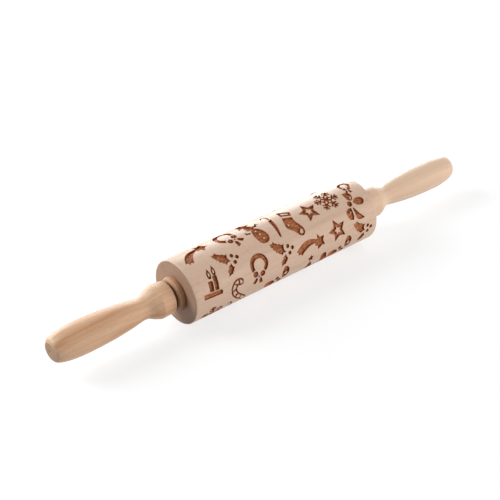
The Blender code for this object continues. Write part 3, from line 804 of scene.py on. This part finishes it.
# The surface is laid out flat, split along every outline, and each face gets its finish
def flatSheet(halfLength):
    points, polygons, kinds = [], [], []

    def addPolygon(loop, kind):
        polygons.append(list(range(len(points), len(points) + len(loop))))
        points.extend(loop)
        kinds.append(kind)

    around = 2 * math.pi * barrelRadius
    strip = around / barrel["sides"]
    for side in range(barrel["sides"]):
        low, high = side * strip, (side + 1) * strip
        corners = [(-halfLength, low), (halfLength, low), (halfLength, high), (-halfLength, high)]
        addPolygon(sharp(corners), ("strip", 0))
    number = 0
    length = barrelHigh.x - barrelLow.x
    reach = barrel["longestReach"]
    footWidth = barrel["edgeWidth"] * barrel["footShare"]
    for draw, places in barrel["ornaments"]:
        cuts = [[anticlockwise(loop) for loop in cut] for cut in draw()]
        for alongShare, roundShare, lean in places:
            turn = Matrix.Rotation(math.radians(lean), 2) * mm
            for lap in (-1, 0):
                middle = Vector((length * alongShare, around * (roundShare + lap)))
                if not -reach < middle.y < around + reach:
                    continue
                for outer, *islands in cuts:
                    number += 1
                    rings = [("outline", outer), ("scorch", grown(outer, barrel["scorchWidth"]))]
                    rings.append(("floor", anticlockwise(grown(outer, -barrel["edgeWidth"]))))
                    for island in islands:
                        rings += [("island", island), ("foot", grown(island, footWidth))]
                    for kind, loop in rings:
                        placed = [middle + turn @ point for point in fromLongestEdge(loop)]
                        addPolygon(placed, (kind, number))

    trianglesInside = 1
    verts, _, faces, _, _, owners = delaunay_2d_cdt(
        points, [], polygons, trianglesInside, barrel["joinWithin"], True
    )
    finishes = []
    for owner in owners:
        inside = {}
        for i in owner:
            inside.setdefault(kinds[i][0], set()).add(kinds[i][1])
        names = {
            kind: inside.get(kind, set()) for kind in ("outline", "island", "scorch", "floor", "foot")
        }
        if "strip" not in inside:
            finishes.append(None)
        elif names["outline"] - names["island"]:
            deep = (names["floor"] & names["outline"]) - names["island"] - names["foot"]
            # the floor's band along its outline and round the islands gets the edge finish, painted shade
            finishes.append("floor" if deep else "edge")
        else:
            finishes.append("scorch" if names["scorch"] - names["island"] else "surface")
    return verts, faces, finishes


def makeBarrel(finishSlots, materials):
    halfLength = (barrelHigh.x - barrelLow.x) / 2 - barrel["rimRound"]
    points, faces, finishes = flatSheet(halfLength)
    print("barrel laid out flat:", len(faces), "faces")
    ends = halfLength + barrel["rimRound"]
    rounding = barrel["rimRound"] * barrel["rimShare"]
    counterbore = ends - barrel["spigotDepth"]
    rightHalf = [
        (halfLength, barrelRadius), (ends, barrelRadius, rounding), (ends, barrel["spigotRadius"]),
        (counterbore, barrel["spigotRadius"]), (counterbore, barrel["boreRadius"]),
    ]
    corners = rightHalf + [(-x, *rest) for x, *rest in reversed(rightHalf)]
    bm = profileWire(corners)
    spinRound(bm, barrel["sides"])
    for face in bm.faces:
        middle = face.calc_center_median()
        reach = math.hypot(middle.y, middle.z - axisHeight)
        onRim = reach > barrelRadius - barrel["rimRound"] / 2
        face.material_index = finishSlots["surface" if onRim else "end"]

    # the sheet is rolled up round the axle
    rolled = []
    for x, distance in points:
        angle = distance / barrelRadius
        rolled.append(bm.verts.new((
            x, -barrelRadius * math.sin(angle), axisHeight - barrelRadius * math.cos(angle),
        )))
    for face, finish in zip(faces, finishes):
        if finish:
            made = bm.faces.new([rolled[i] for i in face])
            made.material_index = finishSlots[finish]
    bmesh.ops.delete(bm, geom=[vert for vert in rolled if not vert.link_faces], context="VERTS")
    bmesh.ops.remove_doubles(bm, verts=bm.verts[:], dist=barrel["weldWithin"])

    # and its engraved faces are pressed in
    pressedSlots = (finishSlots["floor"], finishSlots["edge"])
    pressed = [face for face in bm.faces if face.material_index in pressedSlots]
    moved = bmesh.ops.extrude_face_region(bm, geom=pressed)["geom"]
    bmesh.ops.delete(bm, geom=pressed, context="FACES")
    lower = {item for item in moved if isinstance(item, bmesh.types.BMVert)}
    shrink = 1 - barrel["depth"] / barrelRadius
    bmesh.ops.scale(
        bm, vec=(1, shrink, shrink), verts=list(lower), space=Matrix.Translation((0, 0, -axisHeight)),
    )
    for face in bm.faces:
        deep = [vert in lower for vert in face.verts]
        if any(deep) and not all(deep):
            face.material_index = finishSlots["wall"]
    addPiece("engravedBarrel", bm, materials, "barrel", "barrel")


# Colours and strengths of each wood, and where its pith lies and how wide its rings are, in metres
woods = {
    "barrel": {
        "Pale Wood": (0.735, 0.508, 0.368, 1), "Late Wood": (0.57, 0.36, 0.242, 1),
        "Streak": (0.63, 0.385, 0.24, 1), "Pith": (0.0, 0.034, -0.052), "Ring Spacing": 0.0034,
        "Ring Strength": 0.28, "Fibre Strength": 0.6, "Streak Strength": 0.35, "Ray Strength": 0.45,
    },
    "barrelEnd": {
        "Pale Wood": (0.50, 0.31, 0.213, 1), "Late Wood": (0.35, 0.203, 0.127, 1),
        "Streak": (0.41, 0.225, 0.13, 1), "Pith": (0.0, 0.034, -0.052), "Ring Spacing": 0.0034,
        "Ring Strength": 0.45, "Fibre Strength": 0.5, "Streak Strength": 0.3, "Ray Strength": 0.4,
    },
    "leftHandle": {
        "Pale Wood": (0.775, 0.478, 0.29, 1), "Late Wood": (0.57, 0.315, 0.172, 1),
        "Streak": (0.54, 0.24, 0.098, 1), "Pith": (0.0, -0.042, 0.0), "Ring Spacing": 0.0042,
        "Ring Strength": 0.45, "Fibre Strength": 0.5, "Streak Strength": 0.78, "Ray Strength": 0.3,
    },
    "rightHandle": {
        "Pale Wood": (0.81, 0.56, 0.385, 1), "Late Wood": (0.69, 0.46, 0.30, 1),
        "Streak": (0.66, 0.41, 0.25, 1), "Pith": (0.0, 0.03, 0.07), "Ring Spacing": 0.0038,
        "Ring Strength": 0.35, "Fibre Strength": 0.4, "Streak Strength": 0.4, "Ray Strength": 0.25,
    },
    "handleTip": {
        "Pale Wood": (0.555, 0.335, 0.205, 1), "Late Wood": (0.40, 0.22, 0.125, 1),
        "Streak": (0.45, 0.26, 0.15, 1), "Pith": (0.0, -0.042, 0.0), "Ring Spacing": 0.0022,
        "Ring Strength": 0.45, "Fibre Strength": 0.5, "Streak Strength": 0.4, "Ray Strength": 0.4,
    },
    # painted shade: the inside of the flange's face is painted near black, where the handle's collar
    # shades the gap
    "flangeInnerPaintedShade": {
        "Pale Wood": (0.18, 0.09, 0.05, 1), "Late Wood": (0.12, 0.055, 0.03, 1),
        "Streak": (0.12, 0.05, 0.025, 1), "Pith": (0.0, 0.02, 0.035), "Ring Spacing": 0.0022,
        "Ring Strength": 0.45, "Fibre Strength": 0.5, "Streak Strength": 0.4, "Ray Strength": 0.3,
    },
    # painted highlight: the flange's face is paler than the bushing's side
    "flangeFace": {
        "Pale Wood": (0.58, 0.325, 0.185, 1), "Late Wood": (0.42, 0.21, 0.11, 1),
        "Streak": (0.40, 0.20, 0.11, 1), "Pith": (0.0, 0.02, 0.035), "Ring Spacing": 0.0022,
        "Ring Strength": 0.45, "Fibre Strength": 0.5, "Streak Strength": 0.4, "Ray Strength": 0.3,
    },
    "bushing": {
        "Pale Wood": (0.57, 0.295, 0.145, 1), "Late Wood": (0.41, 0.19, 0.08, 1),
        "Streak": (0.40, 0.17, 0.075, 1), "Pith": (0.0, 0.02, 0.035), "Ring Spacing": 0.0022,
        "Ring Strength": 0.45, "Fibre Strength": 0.5, "Streak Strength": 0.5, "Ray Strength": 0.3,
    },
    "axle": {
        "Pale Wood": (0.60, 0.42, 0.28, 1), "Late Wood": (0.46, 0.29, 0.17, 1),
        "Streak": (0.42, 0.22, 0.11, 1), "Pith": (0.0, 0.015, 0.05), "Ring Spacing": 0.0025,
        "Ring Strength": 0.4, "Fibre Strength": 0.5, "Streak Strength": 0.4, "Ray Strength": 0.3,
    },
    "scorched": {
        "Pale Wood": (0.34, 0.155, 0.076, 1), "Late Wood": (0.23, 0.096, 0.045, 1),
        "Streak": (0.24, 0.10, 0.045, 1), "Pith": (0.0, 0.034, -0.052), "Ring Spacing": 0.0034,
        "Ring Strength": 0.3, "Fibre Strength": 0.8, "Streak Strength": 0.3, "Ray Strength": 0.3,
    },
    "burntFloor": {
        "Pale Wood": (0.60, 0.228, 0.10, 1), "Late Wood": (0.37, 0.12, 0.048, 1),
        "Streak": (0.31, 0.102, 0.041, 1), "Pith": (0.0, 0.034, -0.052), "Ring Spacing": 0.0017,
        "Ring Strength": 0.5, "Fibre Strength": 1.1, "Streak Strength": 0.35, "Ray Strength": 0.5,
    },
    "burntWall": {
        "Pale Wood": (0.66, 0.238, 0.10, 1), "Late Wood": (0.36, 0.112, 0.044, 1),
        "Streak": (0.30, 0.093, 0.036, 1), "Pith": (0.0, 0.034, -0.052), "Ring Spacing": 0.0017,
        "Ring Strength": 0.6, "Fibre Strength": 1.2, "Streak Strength": 0.5, "Ray Strength": 0.5,
    },
    # painted shade: darker floor along the foot of the walls
    "paintedShadeFloorEdge": {
        "Pale Wood": (0.40, 0.150, 0.066, 1), "Late Wood": (0.23, 0.077, 0.032, 1),
        "Streak": (0.23, 0.074, 0.031, 1), "Pith": (0.0, 0.034, -0.052), "Ring Spacing": 0.0034,
        "Ring Strength": 0.4, "Fibre Strength": 0.9, "Streak Strength": 0.3, "Ray Strength": 0.5,
    },
}

engraved = {"latheMarks": 0.2, "relief": 0.00015, "gloss": 0.12}
makeBarrel(
    {"surface": 0, "end": 1, "scorch": 2, "floor": 3, "edge": 4, "wall": 5},
    [
        woodMaterial("sandedBarrelBeech", woods["barrel"], gloss=1.0, polish=0.25),
        woodMaterial("barrelEndGrain", woods["barrelEnd"], latheMarks=0.6),
        woodMaterial("scorchedRim", woods["scorched"], gloss=0.3),
        woodMaterial("burntFloor", woods["burntFloor"], burnt=0.75, **engraved),
        woodMaterial("paintedShadeFloorEdge", woods["paintedShadeFloorEdge"], burnt=0.5, **engraved),
        woodMaterial("burntWall", woods["burntWall"], burnt=0.5, **engraved),
    ],
)

leftBeech = woodMaterial("leftHandleBeech", woods["leftHandle"], latheMarks=0.5, gloss=0.8, polish=0.25)
rightBeech = woodMaterial("rightHandleBeech", woods["rightHandle"], latheMarks=0.5, gloss=1.0, polish=0.45)
tipGrain = woodMaterial("handleEndGrain", woods["handleTip"], latheMarks=0.6, gloss=0.3)
makeHandle("leftTurnedHandle", -1, "left_handle", [leftBeech, tipGrain])
makeHandle("rightTurnedHandle", 1, "right_handle", [rightBeech, tipGrain])
bushingFinishes = [
    woodMaterial("bushingBeech", woods["bushing"], latheMarks=0.6),
    # painted highlight on the flange's face
    woodMaterial("paintedHighlightFlangeBeech", woods["flangeFace"], latheMarks=0.6),
    # painted shade inside the flange's face
    woodMaterial("paintedShadeFlangeBeech", woods["flangeInnerPaintedShade"], latheMarks=0.6),
]
makeBushing("leftTurnedBushing", -1, "left_bushing", bushingFinishes)
makeBushing("rightTurnedBushing", 1, "right_bushing", bushingFinishes)

# the axle keeps its CAD shape
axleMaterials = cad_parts["axle"].data.materials
axleMaterials.clear()
axleMaterials.append(woodMaterial("axleBeech", woods["axle"], latheMarks=0.2))
print("pieces finished")


# Floor, light and camera

room = {
    "floorSize": 4.0,
    "floorTone": 0.38,
    "floorRoughness": 0.9,
    "floorGloss": 0.1,
    # how bright the camera sees it besides the lamps' light: where they light it, and far away
    "floorGlow": 0.72,
    "farGlow": 1.0,
    "glowFrom": 0.5,
    "glowTo": 1.5,
    "skyForObject": 0.145,
}


# 1 where the camera sees it, also mirrored or through glass, and 0 where it only lights the object
def seenDirectly(tree):
    path = newNode(tree, "ShaderNodeLightPath").outputs
    seen = calculate(tree, "MAXIMUM", path["Is Camera Ray"], path["Is Glossy Ray"])
    return calculate(tree, "MAXIMUM", seen, path["Is Transmission Ray"])


def makeRoom():
    bm = bmesh.new()
    bmesh.ops.create_grid(bm, x_segments=1, y_segments=1, size=room["floorSize"] / 2)
    bmesh.ops.translate(bm, vec=(0, 0, cadBounds[0].z), verts=bm.verts[:])
    mesh = bpy.data.meshes.new("floor")
    bm.to_mesh(mesh)
    bm.free()
    floor = bpy.data.objects.new("floor", mesh)
    bpy.context.scene.collection.objects.link(floor)
    paper = bpy.data.materials.new("whitePaper")
    paper.use_nodes = True
    tree = paper.node_tree
    shader = tree.nodes["Principled BSDF"]
    tone = room["floorTone"]
    shader.inputs["Base Color"].default_value = (tone, tone, tone, 1)
    shader.inputs["Roughness"].default_value = room["floorRoughness"]
    shader.inputs["Specular IOR Level"].default_value = room["floorGloss"]
    shader.inputs["Emission Color"].default_value = (1, 1, 1, 1)
    place = newNode(tree, "ShaderNodeTexCoord").outputs["Object"]
    away = ramp(tree, vectorStep(tree, "LENGTH", place), room["glowFrom"], room["glowTo"])
    glow = calculate(tree, "MULTIPLY_ADD", away, room["farGlow"] - room["floorGlow"], room["floorGlow"])
    glow = calculate(tree, "MULTIPLY", seenDirectly(tree), glow)
    tree.links.new(glow, shader.inputs["Emission Strength"])
    mesh.materials.append(paper)

    world = bpy.data.worlds.new("studio")
    world.use_nodes = True
    tree = world.node_tree
    background = tree.nodes["Background"]
    background.inputs["Color"].default_value = (1, 1, 1, 1)
    sky = room["skyForObject"]
    strength = calculate(tree, "MULTIPLY_ADD", seenDirectly(tree), 1 - sky, sky)
    tree.links.new(strength, background.inputs["Strength"])
    bpy.context.scene.world = world


cool, white = (0.95, 0.985, 1.0), (1.0, 1.0, 1.0)
# Places and sizes in metres, power in watts
lamps = {
    "backLeft": {"place": (-0.85, 0.80, 0.85), "size": 0.7, "power": 15.6, "colour": cool},
    "behind": {"place": (0.0, 1.35, 0.20), "size": 0.7, "power": 8.4, "colour": cool},
    "backRight": {"place": (0.95, 1.00, 0.18), "size": 0.7, "power": 12.6, "colour": cool},
    # it fills the shadows and leaves no shine
    "front": {"place": (0.70, -1.15, 0.24), "size": 0.9, "power": 18.2, "colour": white, "matt": True},
}


def makeLamps():
    target = Vector((0, 0, axisHeight))
    for name, lamp in lamps.items():
        data = bpy.data.lights.new(name, "AREA")
        data.shape = "SQUARE"
        data.size = lamp["size"]
        data.energy = lamp["power"]
        data.color = lamp["colour"]
        light = bpy.data.objects.new(name, data)
        light.visible_glossy = not lamp.get("matt", False)
        place = Vector(lamp["place"])
        aim = (place - target).to_track_quat("Z", "Y").to_matrix().to_4x4()
        light.matrix_world = Matrix.Translation(place) @ aim
        bpy.context.scene.collection.objects.link(light)


# Degrees, metres from the middle of the barrel, and mm for lens and sensor
view = {
    "around": -39.588,
    "above": 34.140,
    "distance": 0.84340,
    "right": -0.013533,
    "up": -0.000943,
    "lens": 89.13,
    "sensor": 36,
    "clipStart": 0.01,
}


def makeCamera():
    around, above = math.radians(view["around"]), math.radians(view["above"])
    back = Vector((
        math.sin(around) * math.cos(above), -math.cos(around) * math.cos(above), math.sin(above),
    ))
    right = Vector((math.cos(around), math.sin(around), 0))
    up = back.cross(right)
    place = back * view["distance"] + right * view["right"] + up * view["up"]
    data = bpy.data.cameras.new("photoView")
    data.lens = view["lens"]
    data.sensor_width = view["sensor"]
    data.clip_start = view["clipStart"]
    camera = bpy.data.objects.new("photoView", data)
    turn = Matrix((right, up, back)).transposed().to_4x4()
    camera.matrix_world = Matrix.Translation(place + Vector((0, 0, axisHeight))) @ turn
    bpy.context.scene.collection.objects.link(camera)
    bpy.context.scene.camera = camera


makeRoom()
makeLamps()
makeCamera()
bpy.context.scene.view_settings.view_transform = "Standard"
print("floor, light and camera ready")
